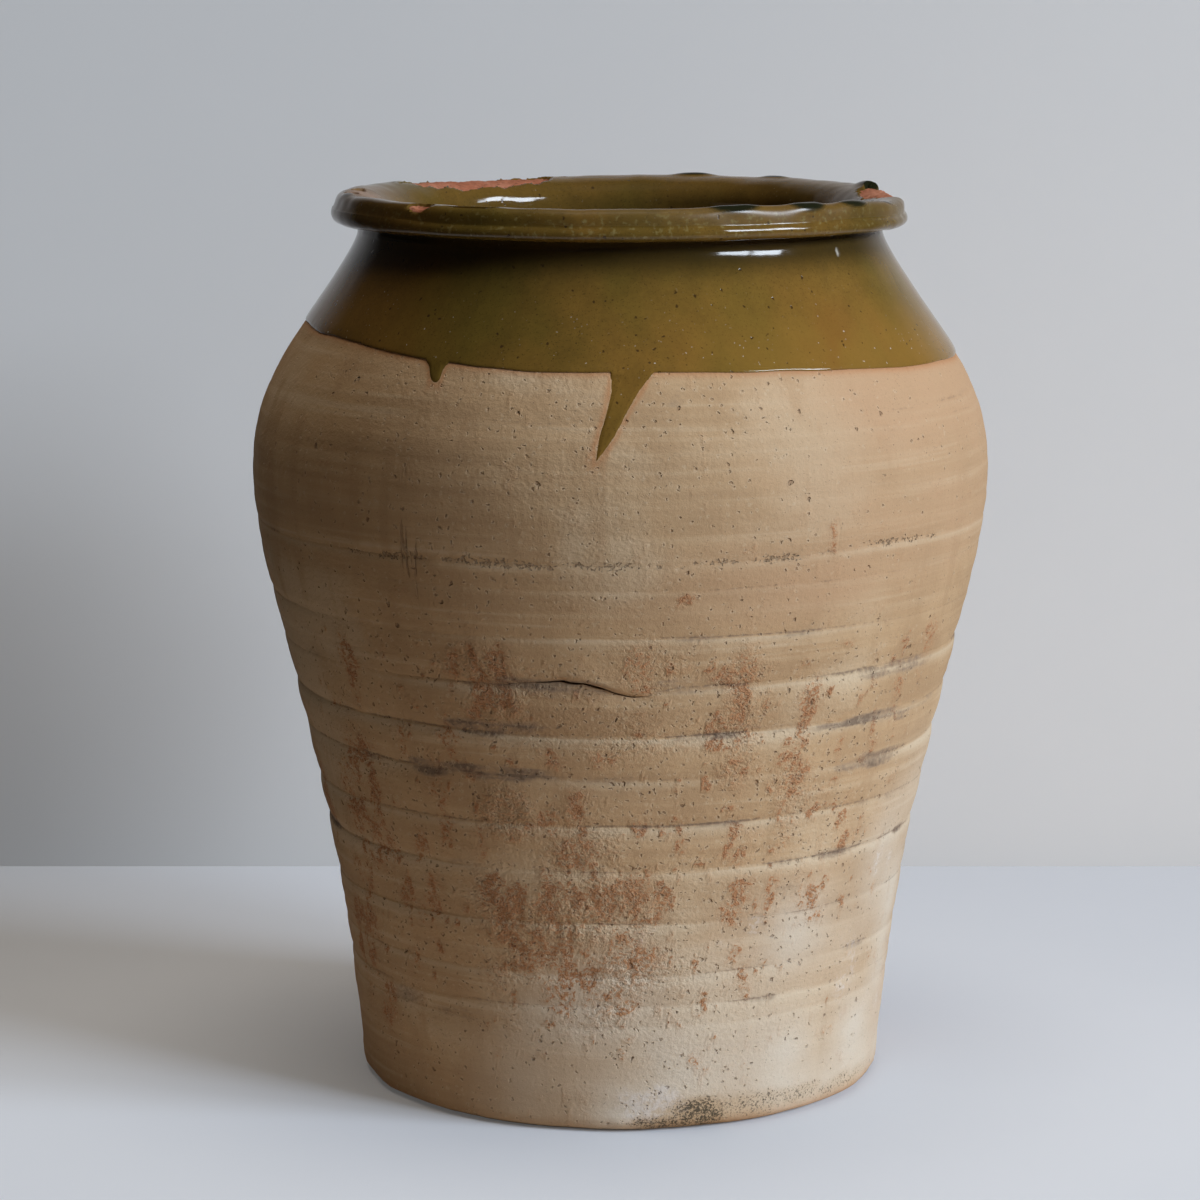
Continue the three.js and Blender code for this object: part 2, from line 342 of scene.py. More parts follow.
def turned_body(name, rings, marks=(), poles=False, crease=62.0):
    """A closed body from rings of points in mm, shaped (ring, column, 3). Each ring joins the next. The last
    joins the first, or with poles both end rings close on the axis. marks are amounts for the finish, given
    from the first ring on and 0 after they end."""
    count, columns = rings.shape[:2]
    number = np.arange(count * columns).reshape(count, columns)
    lower = number[:-1] if poles else number
    upper = number[1:] if poles else np.roll(number, -1, axis=0)
    quads = np.stack([lower, np.roll(lower, -1, 1), np.roll(upper, -1, 1), upper], -1).reshape(-1, 4)
    faces = quads.tolist()
    points = rings.reshape(-1, 3)
    if poles:
        hub = len(points)
        first, last = number[0], number[-1]
        faces += np.stack([np.full(columns, hub), np.roll(first, -1), first], -1).tolist()
        faces += np.stack([last, np.roll(last, -1), np.full(columns, hub + 1)], -1).tolist()
        points = np.vstack([points, rings[0].mean(0), rings[-1].mean(0)])
    mesh = bpy.data.meshes.new(name)
    mesh.from_pydata((points * MM).tolist(), [], faces)
    mesh.polygons.foreach_set("use_smooth", np.ones(len(faces), bool))
    mesh.set_sharp_from_angle(angle=math.radians(crease))
    for mark, amount in dict(marks).items():
        whole = np.zeros(len(points), np.float32)
        whole[: amount.size] = amount.ravel()
        mesh.attributes.new(mark, "FLOAT", "POINT").data.foreach_set("value", whole)
    if not poles:
        unroll(mesh, rings)
    body = bpy.data.objects.new(name, mesh)
    bpy.context.collection.objects.link(body)
    return body


def unroll(mesh, rings, margin=0.01):
    """Lays the body out flat for its finish: the strip round it is cut into lengths, one above the other."""
    count, columns = rings.shape[:2]
    closed = np.concatenate([rings, rings[:1]])
    steps = np.linalg.norm(np.diff(closed, axis=0), axis=-1).mean(1)
    girth = np.linalg.norm(np.diff(rings, axis=1), axis=-1).sum(1).max()
    strips = max(n for n in (1, 2, 3, 4, 5, 6) if n == 1 or girth / n >= 0.8 * n * steps.sum())
    width = columns // strips
    column = np.arange(columns)
    left = (column % width) / width
    along = np.concatenate([[0], np.cumsum(steps)]) / steps.sum()
    u = np.stack([left, left + 1 / width, left + 1 / width, left], -1)
    v = np.stack([along[:-1], along[:-1], along[1:], along[1:]], -1)
    u = np.broadcast_to(u[None], (count, columns, 4))
    v = (v[:, None] * (1 - 2 * margin) + margin + (column // width)[None, :, None]) / strips
    u = u * (1 - 2 * margin) + margin
    places = np.stack([u, v], -1)
    mesh.uv_layers.new(name="OFBake").data.foreach_set("uv", places.astype(np.float32).ravel())


def set_in_place(piece, finish, node):
    """Gives a piece its finish and puts it where its CAD node is."""
    piece.data.materials.append(finish)
    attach(piece, "root")
    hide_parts(node)


def red_clay_finish():
    """Bare fired red clay: gritty, paler where it is rubbed and darker in its hollows."""
    finish, paint = new_finish("red_clay")
    patch = paint.cloud((60, 60, 60), 5)
    grit = paint.cloud((700, 700, 700), 4)
    colour = patch.step(0.35, 0.7).blend(RED_CLAY, PALE_RED_CLAY)
    colour = grit.step(0.5, 0.28).blend(colour, DARK_RED_CLAY)
    finish_with(
        paint,
        Base_Color=colour,
        Roughness=0.8 + 0.15 * grit,
        Specular_IOR_Level=0.25,
        Normal=paint.bump(0.5 * grit + 0.5 * patch),
    )
    return finish


red_clay = red_clay_finish()
# The columns' turns, the same for every piece but the collar
turn = np.arange(COLUMNS) / COLUMNS * 2 * math.pi
reach = np.linspace(HUB_RADIUS, slab_radius, SLAB_RINGS)[:, None]
sweep = np.hypot(reach * np.sin(turn), WIRE_SWEEP + reach * np.cos(turn))
wire_cut = 0.5 + 0.5 * np.sin(2 * math.pi * sweep / WIRE_PITCH)
wire_cut = wire_cut * (0.6 + 0.4 * mottle(turn, reach, 60, 40, 11)) * ease(slab_radius - reach, 0, 4)
under = round_axis(turn, reach, WIRE_MARK * np.abs(wire_cut))
over = round_axis(turn, reach[::-1], slab_thick - BEATEN_MARK * np.abs(wire_cut[::-1]))
slab = turned_body("slab_floor", np.concatenate([under, over]), poles=True)
set_in_place(slab, red_clay, "floor_slab")


# Wall: three courses of red clay, thrown and joined one on the other, washed outside with a buff slip.
# Finger laps ring them, the lower joint has opened in front, and damp has flaked the slip off in columns.
FOOT_RADIUS = 118.0
FOOT_ROUND = 6.0
FOOT_LEAN = 0.096
FOOT_PULL = 0.566
BELLY_PULL_BELOW = 0.179
BELLY_PULL_ABOVE = 0.43
NECK_RADIUS = 115.1
NECK_LEAN = 0.58
NECK_PULL = 0.4725
BELLY_HEIGHT = 276.0
WALL_THICK = 10.0
SLAB_CLEARANCE = 0.3
LOWER_ROWS = 126
MIDDLE_ROWS = 50
SHOULDER_ROWS = 84
INNER_ROWS = 9
# The wall isn't quite round: waves in a turn, rise, shift
OUT_OF_ROUND = ((2, 0.45, 0.8), (3, 0.3, 2.1))
# Lap lines of the thrower's fingers: height, depth
LAPS = (
    (49.5, 0.55), (57.0, 1.15), (72.0, 1.2), (81.0, 0.45), (95.0, 1.5), (106.0, 0.45), (119.0, 1.55),
    (140.0, 1.5), (162.0, 1.65), (181.5, 1.65), (224.0, 0.75), (245.8, 0.6), (268.0, 0.35), (283.0, 0.3),
    (296.0, 0.3), (309.0, 0.35), (315.0, 0.45), (326.0, 0.2),
)
# Rows of points follow laps deeper than DEEP_LAP. Each lap fades out above and below its line.
DEEP_LAP = 0.48
OPEN_LAP = 1.5
PITTED_LAP = 0.75
LAP_ABOVE = 7.0
LAP_BELOW = 3.2
LAP_WANDER = 1.0
LAP_RIPPLE = 0.35
# The open joint in front, from left to right: turn in degrees, rise of the joint line, opening
OPEN_JOINT = (
    (-30, 0.0, 0.0), (-20, 0.1, 0.1), (-14, 1.8, 0.4), (-9.4, 2.7, 0.9), (-6.2, 2.1, 1.1), (-3.1, 0.0, 1.15),
    (-0.8, -2.6, 1.1), (1.6, -4.0, 0.7), (3.9, -4.0, 0.25), (5.5, -1.9, 0.05), (9, -0.5, 0.0), (16, 0.0, 0.0),
)
# The pitted joint above it: turn, rise of the joint line
PITTED_JOINT = (
    (-120, 0.0), (-57, -0.7), (-3, -0.7), (14, 0.2), (32, 1.7), (46, 3.0), (63, 2.1), (110, 0.0),
)
# Places where the slip has flaked off: turn, height, half width, half height, strength
FLAKED = (
    (19.6, 190, 5.5, 22, 1.0), (18.0, 208, 6, 7, 0.9), (32.0, 189, 4.5, 9, 0.95), (30.2, 164, 6.5, 6.5, 1.1),
    (31.0, 143, 4.5, 12, 1.05), (39.5, 170, 3, 4.5, 0.8), (38.5, 146, 3.5, 8, 0.8), (39.5, 124, 3.5, 8, 0.75),
    (38.5, 103, 7, 9, 0.75), (29.5, 105, 3.5, 9, 0.8), (21.5, 133, 5.5, 9, 0.95), (21.5, 104, 5.5, 12, 0.95),
    (-22.3, 106, 8, 11.5, 1.45), (-11.0, 104, 9, 11.5, 1.45), (-5.5, 105, 3, 9, 1.0), (1.0, 106, 11, 10, 1.4),
    (-7.2, 150, 3.5, 8, 1.1), (-7.5, 131, 5, 11, 1.2), (-10.5, 126, 6, 7, 1.0), (-8.5, 77, 8.5, 11, 1.35),
    (0.5, 84, 9, 8, 1.1), (-0.5, 60, 6, 6, 0.9), (-19, 83, 14, 10, 0.85), (-10, 62, 10, 6, 0.85),
    (-23.5, 211, 2.5, 8, 0.95), (-19, 211, 4, 8, 1.1), (-27, 210, 3, 7, 0.9), (-23, 193, 6, 9, 0.95),
    (-18.5, 196, 4, 6, 0.9), (-53.5, 138, 13, 30, 0.82), (-50, 200, 4, 18, 0.75), (-40, 112, 5, 20, 0.85),
    (-40.6, 173, 3, 8, 0.8), (1.7, 212, 6, 6, 0.75), (10.3, 135, 2.5, 6, 0.9), (4, 141, 3, 4, 0.85),
    (8, 107, 4, 4, 0.85), (-13, 143, 4, 6, 0.7), (60.5, 210, 8, 7, 0.7), (54, 190, 3, 7, 0.75),
    (9, 240, 4, 2.5, 0.8), (-66, 70, 10, 22, 0.8), (-58, 45, 8, 10, 0.75), (-2, 170, 5, 4, 0.75),
    (-12, 172, 3, 4, 0.85), (24.5, 164, 2.5, 3, 0.9), (19.5, 262, 2, 3, 0.7), (33, 262, 2, 6, 0.7),
    (2.5, 206.5, 4.5, 3.5, 0.9), (-30, 175, 3, 10, 0.8), (-34, 150, 4, 22, 0.7), (-46, 90, 5, 30, 0.8),
    (-60, 110, 6, 40, 0.75), (24, 75, 4, 14, 0.6), (-27, 130, 3, 12, 0.75), (45, 130, 3, 10, 0.6),
)
FLAKE_DEPTH = 0.35
CRUMB_RISE = 0.36
PIT_DEPTH = 0.5
WRINKLE_RISE = 0.5
FOOT_WEAR = 0.7
WORN_RADIUS = 138.0
# Dark stain in the laps, partly painted shade, and white bloom and black mould low on the wall, in the same
# terms
STAINED_AND_SHADED = (
    (52, 201.5, 34, 3, 1.2), (50, 179, 42, 3.3, 1.35), (50, 160, 24, 3.9, 1.15), (60, 139, 8, 3, 0.6),
    (-21, 183, 30, 3.3, 1.5), (-24, 163, 36, 3.9, 1.5), (-35, 162.5, 13, 4.5, 1.7), (8.5, 324, 5, 3.6, 0.7),
    (-12, 202.5, 30, 4.8, 1.2), (12, 203.5, 22, 3.6, 0.8), (-51, 51, 14, 6, 0.7), (-33, 49.5, 24, 3.8, 0.6),
    (20, 182, 40, 2.4, 0.5), (0, 162, 24, 3, 0.55), (33, 106, 8, 3, 0.6), (-14, 201, 18, 3.3, 0.6),
    (-30, 118, 12, 3.6, 0.5), (-46, 96, 16, 3.3, 0.4), (-62, 205, 26, 3.6, 0.5), (8, 72, 40, 2.4, 0.35),
    (44, 95, 30, 2.2, 0.35), (-20, 140, 14, 18, 0.3),
)
BLOOMED = (
    (18, 112, 5, 4, 0.8), (62, 108, 9, 8, 0.9), (53, 62, 9, 26, 0.7), (19.5, 88, 7, 4, 0.65),
    (6, 11, 17, 10, 1.0), (28, 93, 12, 8, 0.45), (70, 40, 16, 24, 0.45), (2, 92, 22, 5, 0.35),
    (12, 200, 8, 3, 0.3),
)
MOULDY = (
    (16.5, 8, 15, 7, 0.9), (32, 9, 42, 5, 0.55), (56, 8, 30, 4, 0.4), (9, 3.5, 18, 3, 0.8),
    (-30, 47, 20, 2.5, 0.25),
)
# Slip washed pale by damp and by painted bounce light, wrinkled, crumbled and scratched, in the same terms
WASHED_AND_LIT = ((36, 30, 95, 75, 1.15), (75, 70, 60, 90, 0.9), (4, 24, 70, 60, 1.15))
WRINKLED = ((-20.5, 145, 13, 13, 1.0),)
CRUMBLED = (
    (-12, 102, 46, 17, 1.0), (-10, 76, 44, 15, 0.9), (-12, 55, 30, 10, 0.6), (-8, 138, 16, 20, 0.7),
    (-22, 200, 24, 20, 0.6), (20, 190, 12, 30, 0.55), (31, 150, 12, 24, 0.55), (2, 214, 26, 12, 0.35),
    (-4, 180, 60, 14, 0.3), (7, 204, 9, 5, 0.9), (-8, 203, 32, 5, 0.6),
)
SCRATCHED = ((-32.5, 264, 9, 28, 1.0), (-28, 272, 5, 12, 0.8))
# The far side, between two turns in degrees, has the same wear, scattered
FAR_SIDE = (80, 285)
FAR_FLAKES = 26
FAR_STAINS = 12
FAR_BLOOMS = 8
FAR_SEED = 23
# Colours of the slip, of the clay under it and of what lies on it
BUFF = (0.55, 0.375, 0.212, 1)
CREAM = (0.65, 0.52, 0.355, 1)
TAN = (0.52, 0.33, 0.19, 1)
UMBER_BUFF = (0.455, 0.30, 0.165, 1)
FLAKE_RED = (0.37, 0.145, 0.057, 1)
FLAKE_PALE = (0.52, 0.275, 0.135, 1)
FLAKE_DARK = (0.14, 0.06, 0.03, 1)
STAIN_AND_SHADE_GREY = (0.265, 0.19, 0.132, 1)
BLOOM_WHITE = (0.70, 0.65, 0.605, 1)
CHALK_AND_BOUNCE_LIGHT = (0.66, 0.585, 0.475, 1)
MOULD_BLACK = (0.032, 0.027, 0.017, 1)
MOULD_TINT = (0.42, 0.25, 0.10, 1)
HALO_ORANGE = (0.47, 0.20, 0.075, 1)
PIT_DARK = (0.16, 0.09, 0.05, 1)
SEAM_DARK = (0.145, 0.102, 0.072, 1)
FOOT_ORANGE = (0.50, 0.275, 0.125, 1)

lower_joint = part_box("lower_wall")[1][2] / MM
upper_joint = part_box("middle_wall")[1][2] / MM
belly_radius, _, neck_height = np.array(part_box("shoulder_wall")[1]) / MM


def pulled_curve(start, first, second, end):
    """A smooth curve between two points, drawn towards two others."""
    t = np.linspace(0, 1, 600)[:, None]
    ends = (1 - t) ** 3 * np.array(start) + t**3 * np.array(end)
    return ends + 3 * t * (1 - t) ** 2 * np.array(first) + 3 * t * t * (1 - t) * np.array(second)


body_rise = BELLY_HEIGHT - FOOT_ROUND
shoulder_rise = neck_height - BELLY_HEIGHT
outline = np.vstack(
    [
        pulled_curve(
            (FOOT_RADIUS, FOOT_ROUND),
            (FOOT_RADIUS + FOOT_LEAN * FOOT_PULL * body_rise, FOOT_ROUND + FOOT_PULL * body_rise),
            (belly_radius, BELLY_HEIGHT - BELLY_PULL_BELOW * body_rise),
            (belly_radius, BELLY_HEIGHT),
        ),
        pulled_curve(
            (belly_radius, BELLY_HEIGHT),
            (belly_radius, BELLY_HEIGHT + BELLY_PULL_ABOVE * shoulder_rise),
            (NECK_RADIUS + NECK_LEAN * NECK_PULL * shoulder_rise, neck_height - NECK_PULL * shoulder_rise),
            (NECK_RADIUS, neck_height),
        ),
    ]
)


def plain_radius(height):
    """The jar's outside radius at a height, with the edge of the foot rounded under."""
    tucked = np.clip(FOOT_ROUND - height, 0, FOOT_ROUND)
    return np.interp(height, outline[:, 1], outline[:, 0]) - FOOT_ROUND + np.sqrt(FOOT_ROUND**2 - tucked**2)


def spaced(low, high, count, focus=(), width=3.0, weight=4.0):
    """count values from low to high, closer together near each value in focus."""
    fine = np.linspace(low, high, 4000)
    crowd = np.ones_like(fine)
    for middle in focus:
        crowd += weight * hump(fine - middle, width)
    share = np.concatenate([[0], np.cumsum((crowd[1:] + crowd[:-1]) / 2)])
    return np.interp(np.linspace(0, share[-1], count), share, fine)


def wrapped(turn):
    """A turn brought to between half a turn left and half a turn right of the front."""
    return (turn + math.pi) % (2 * math.pi) - math.pi


def spread(turn, height, places, fray=0.0, square=2.0):
    """How far each point lies inside one of the places, from 0 outside to about 1 in the middle. fray is how
    many mm the edges wander, and places are oval with square at 2 and more like blocks above it."""
    height = height + fray * mottle(turn, height, 9, 10, 82)
    turn = turn + fray / WORN_RADIUS * mottle(turn, height, 11, 8, 81)
    deepest = np.zeros(np.broadcast(turn, height).shape)
    for at, level, wide, tall, strength in places:
        across = np.abs(wrapped(turn - math.radians(at)) * plain_radius(level) / wide)
        near = across**square + np.abs((height - level) / tall) ** square
        deepest = np.maximum(deepest, strength * np.exp(-(near**2.5)))
    return deepest


def scattered(count, seed, low, high, wide, tall, strength):
    """Places of the same kind on the side that faces away."""
    draw = np.random.default_rng(seed)
    for _ in range(count):
        size = draw.uniform(0.5, 1.2)
        yield (
            draw.uniform(*FAR_SIDE),
            draw.uniform(low, high),
            wide * size,
            tall * size * draw.uniform(0.6, 1.4),
            strength * draw.uniform(0.8, 1.1),
        )


def along_turn(turn, points, column):
    """A value given at a few turns in degrees, read evenly between them and 0 elsewhere."""
    table = np.array(points, float)
    return np.interp(np.degrees(wrapped(turn)), table[:, 0], table[:, column], left=0, right=0)


def lap_line(number, turn):
    """Height of one of the laps, which wanders as it goes round."""
    wander = LAP_WANDER * mottle(turn, 0, 110, 50, 200 + number)
    return LAPS[number][0] + wander + LAP_RIPPLE * mottle(turn, 0, 16, 50, 230 + number)


def open_joint_line(turn):
    ragged_edge = 0.5 * mottle(turn, 0, 40, 50, 31) + 0.3 * mottle(turn, 0, 6, 50, 35)
    return lower_joint + along_turn(turn, OPEN_JOINT, 1) + ragged_edge


def pitted_joint_line(turn):
    return upper_joint + along_turn(turn, PITTED_JOINT, 1) + 0.4 * mottle(turn, 0, 30, 50, 32)


flaked_places = FLAKED + tuple(scattered(FAR_FLAKES, FAR_SEED, 50, 215, 6, 16, 0.95))
stained_and_shaded_places = STAINED_AND_SHADED + tuple(
    (at, min((lap for lap, _ in LAPS), key=lambda lap: abs(lap - level)), wide, 2.2, strength)
    for at, level, wide, _, strength in scattered(FAR_STAINS, FAR_SEED + 1, 60, 215, 34, 2, 0.8)
)
bloomed_places = BLOOMED + tuple(scattered(FAR_BLOOMS, FAR_SEED + 2, 10, 120, 14, 12, 0.7))


def all_laps(turn):
    """Line, depth, dirt and smear of every lap round the jar, the smear partly painted shade; the two joints
    are laps too.
    """
    lines = [(lap_line(number, turn), depth) for number, (_, depth) in enumerate(LAPS)]
    lines += [(open_joint_line(turn), OPEN_LAP), (pitted_joint_line(turn), PITTED_LAP)]
    for number, (line, depth) in enumerate(lines):
        worn = 0.75 + 0.5 * mottle(turn, 0, 60, 50, 260 + number)
        dirt = mottle(turn, 0, 34, 50, 290 + number) + 0.4 * mottle(turn, 0, 9, 50, 320 + number)
        yield line, depth * worn, ease(dirt, -0.25, 0.5), ease(dirt, 0.25, 0.8)


def lapped(turn, height, stand):
    """The wall with its laps and the open joint pressed in: how far it stands out, then the painted light on
    the ledge under each lap, the dirt in its line and the dirt and painted shade smeared beside it."""
    ledge_light = np.zeros_like(stand)
    seam = np.zeros_like(stand)
    smear_and_shade = np.zeros_like(stand)
    for line, depth, dirty, smeared_and_shaded in all_laps(turn):
        above = height - line
        stand = stand - depth * np.where(above > 0, np.exp(-above / LAP_ABOVE), np.exp(above / LAP_BELOW))
        # Painted light: each ledge under a lap is paler where it faces up to the light
        ledge_light = ledge_light + depth * ease(-above, 0.2, 1.2) * np.exp(np.minimum(above, 0) / 4.5)
        seam = seam + (0.35 + 0.75 * depth) * dirty * hump(above - 0.1, 0.6)
        # The smear beside each lap: dirt and painted shade
        smear_and_shade = np.maximum(smear_and_shade, depth * smeared_and_shaded * hump(above + 0.4, 2.1))
    opening = along_turn(turn, OPEN_JOINT, 2)
    over_joint = height - open_joint_line(turn)
    stand = stand + opening * np.where(over_joint > 0, np.exp(-over_joint / 5), -0.9 * np.exp(over_joint / 4))
    return stand, ledge_light, seam, smear_and_shade


def flaking(turn, height, front):
    """How much of the slip has flaked off: the places given, with a fringe to each, and flecks in front."""
    fringes = [
        (at, level, 1.6 * wide, 1.4 * tall, 0.6 * strength)
        for at, level, wide, tall, strength in flaked_places
    ]
    flaked = np.maximum(spread(turn, height, flaked_places, 2.0, 4.0), spread(turn, height, fringes, 4.0))
    flaked = flaked * (0.7 + 0.75 * ragged(turn, height, 7, 9, 61))
    flecks = 1.6 * np.clip(ragged(turn, height, 6, 7, 65) - 0.6, 0, 1) * (0.25 + 0.95 * front)
    return np.clip(flaked + flecks, 0, 1)


def weathered(turn, height):
    """The worn outside: how far it stands out from the plain outline, and the marks that its finish reads."""
    stand = sum(rise * np.sin(waves * turn + shift) for waves, rise, shift in OUT_OF_ROUND)
    ringed = 1 - 0.6 * ease(height, 215, 265)
    rings = 0.16 * mottle(turn, height, 170, 3.4, 41) + 0.22 * mottle(turn, height, 120, 8, 42)
    stand = stand + ringed * rings
    stand = stand + 0.3 * mottle(turn, height, 50, 26, 43)
    stand, ledge_light, seam, smear_and_shade = lapped(turn, height, stand)
    over_pits = height - pitted_joint_line(turn)
    pitted = hump(over_pits, 2.4) * ease(ragged(turn, height, 9, 6, 34), -0.9, 0.5)
    pitted = pitted * ease(np.cos(turn - 0.1), 0.3, 0.8)
    front = ease(np.cos(turn), 0.2, 0.9) * ease(235 - height, 0, 40) * ease(height, 10, 75)
    flaked = flaking(turn, height, front)
    crumbled = spread(turn, height, CRUMBLED, 5.0) * (0.65 + 0.6 * ragged(turn, height, 22, 16, 78))
    crumbled = np.clip(crumbled + 0.6 * flaked, 0, 1)
    crumbs = mottle(turn, height, 3.4, 3.2, 71) + 0.7 * mottle(turn, height, 2.1, 2.0, 72)
    wrinkled = spread(turn, height, WRINKLED)
    stand = stand - PIT_DEPTH * pitted - FLAKE_DEPTH * flaked + CRUMB_RISE * crumbled * crumbs
    stand = stand + WRINKLE_RISE * wrinkled * ragged(turn, height, 7, 4, 67)
    stand = stand + FOOT_WEAR * ease(14 - height, 0, 10) * ragged(turn, height, 26, 12, 70)
    # Stains, with painted shade along the laps and under the open joint
    stained_and_shaded = spread(turn, height, stained_and_shaded_places, 1.2)
    rightward = ease(np.sin(turn), -0.35, 0.8)
    warm_above = 0.8 * rightward * ease(height, 190, 260)
    warm_below = 0.8 * ease(np.cos(turn), 0.5, 0.1) * ease(120 - height, 0, 60)
    marks = {
        "flaked": flaked,
        "crumbled": np.clip(crumbled + wrinkled, 0, 1),
        "stain_and_shade": np.maximum(stained_and_shaded, 0.8 * smear_and_shade) * (0.8 + 0.6 * mottle(turn, height, 14, 4, 83)),
        "seam": seam,
        "bloom": spread(turn, height, bloomed_places, 4.0) * (0.65 + 0.7 * ragged(turn, height, 13, 9, 84)),
        # Pale wash low in front: damp and painted bounce light from the table
        "wash_and_bounce_light": spread(turn, height, WASHED_AND_LIT) * (0.7 + 0.4 * mottle(turn, height, 30, 30, 75)),
        "mould": spread(turn, height, MOULDY, 2.0),
        "ledge_light": ledge_light,
        "warm": warm_above + warm_below + 0.35 * mottle(turn, height, 60, 40, 73),
        "pitted": pitted,
        "holed": front + (1 - front) * 0.55 * ease(np.cos(turn + 0.25), 0.55, 0.95),
        "footed": ease(9 - height, 0, 8) * (0.4 + 0.6 * ease(np.sin(turn), -0.2, 0.6)),
        "scratched": spread(turn, height, SCRATCHED),
    }
    return stand, marks


# Glaze line: the jar was dipped a little askew, so the line tilts, and the glaze ran down in two places.
# Turn and height of the line, then each run: arc at its root, sideways lean, half widths and drops.
GLAZE_LINE = (
    (-180, 337), (-130, 341), (-79, 342.8), (-52.7, 340.4), (-34, 337), (-25, 335), (-16, 334.3), (7, 334.5),
    (30, 332.9), (53, 330.3), (78, 328.5), (130, 330.5), (180, 337),
)
LONG_RUN = (4.2, -0.389, ((0, 35.5), (1.3, 32.4), (3, 26.3), (4.05, 18.3), (5.5, 9.3), (8.65, 0.0)))
SHORT_RUN = (-81.2, 0.3, ((0, 8.6), (1.2, 8.3), (2.2, 7.5), (3.0, 6.0), (3.6, 3.8), (4.3, 1.6), (6.0, 0.0)))
GLAZE_LINE_RADIUS = 145.0
# Share of the wall's unevenness that the glaze levels out
GLAZE_EVENS = 0.6


def dip_line(turn):
    """Height of the glaze line, without its runs."""
    return along_turn(turn, GLAZE_LINE, 1) + 0.35 * mottle(turn, 0, 17, 50, 33)


def run_reach(turn, height):
    """How far below the glaze line the runs come down at a turn, measured along each run's own lean."""
    arc = wrapped(turn) * GLAZE_LINE_RADIUS
    reach = np.zeros(np.broadcast(turn, height).shape)
    for root, lean, form in (LONG_RUN, SHORT_RUN):
        half, drop = np.array(form, float).T
        fallen = np.clip(dip_line(turn) - height, 0, drop[0])
        reach = np.maximum(reach, np.interp(np.abs(arc - root - lean * fallen), half, drop, right=0))
    return reach


def leaned(turn, height):
    """The turn that a point near a run has once it follows the run's lean."""
    shift = np.zeros(np.broadcast(turn, height).shape)
    for root, lean, form in (LONG_RUN, SHORT_RUN):
        near = np.abs(wrapped(turn) * GLAZE_LINE_RADIUS - root) < form[-1][0] + 3
        shift = shift + near * lean * np.clip(dip_line(turn) - height, 0, form[0][1])
    return turn + shift / GLAZE_LINE_RADIUS


def depth_in_glaze(turn, height):
    """Distance in mm from the glaze's edge, above 0 under the glaze and below 0 on the bare wall."""
    nudge = 0.5
    aside = nudge / GLAZE_LINE_RADIUS
    level = height - dip_line(turn) + run_reach(turn, height)
    slope = (run_reach(turn + aside, height) - run_reach(turn - aside, height)) / (2 * nudge)
    return np.maximum(level / np.sqrt(1 + slope**2), height - dip_line(turn))


